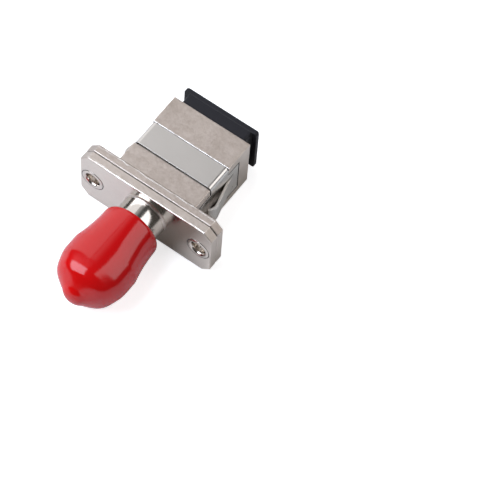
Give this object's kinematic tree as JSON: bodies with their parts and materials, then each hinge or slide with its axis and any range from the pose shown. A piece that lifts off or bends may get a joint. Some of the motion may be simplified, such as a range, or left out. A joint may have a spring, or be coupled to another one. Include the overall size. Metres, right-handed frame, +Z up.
{
  "type": "hybrid sc to st fibre adapter",
  "caption": "Panel-mount metal fibre adapter with a square SC socket on one side of its flange, a round ST bayonet barrel on the other, a folded spring clip and dust covers.",
  "frame": {"origin": "on the optical axis, midway between the two mounting holes, in the plane of the flange face that meets the panel", "axes": "+Y out of the SC socket, so the ST barrel points along -Y; +X along the flange; +Z up, with the folded clip's band on top"},
  "size_m": [0.0222, 0.0349, 0.0098],
  "materials": {
    "nickel_casting": "satin nickel plate over a fine cast grain",
    "rivet_nickel": "bright nickel plate",
    "spring_steel": "smooth rolled sheet",
    "insert_moulding": "moulded",
    "sleeve_ceramic": "polished ceramic",
    "plug_moulding": "moulded matte",
    "cap_vinyl": "glossy dipped vinyl"
  },
  "bodies": {
    "adapter": {"st_front_housing": "nickel_casting", "sc_rear_housing": "nickel_casting", "left_eyelet": "rivet_nickel", "right_eyelet": "rivet_nickel", "spring_clip": "spring_steel", "sc_latch_insert": "insert_moulding", "alignment_sleeve": "sleeve_ceramic"},
    "plug": {"sc_dust_plug": "plug_moulding"},
    "cap": {"st_dust_cap": "cap_vinyl"}
  },
  "joints": [
    {"name": "plug_pull", "type": "slide", "parent": "adapter", "child": "plug", "axis": [0, 1, 0], "range_m": [0, 0.008]},
    {"name": "cap_pull", "type": "slide", "parent": "adapter", "child": "cap", "axis": [0, -1, 0], "range_m": [0, 0.014], "deforming": ["st_dust_cap"]}
  ]
}
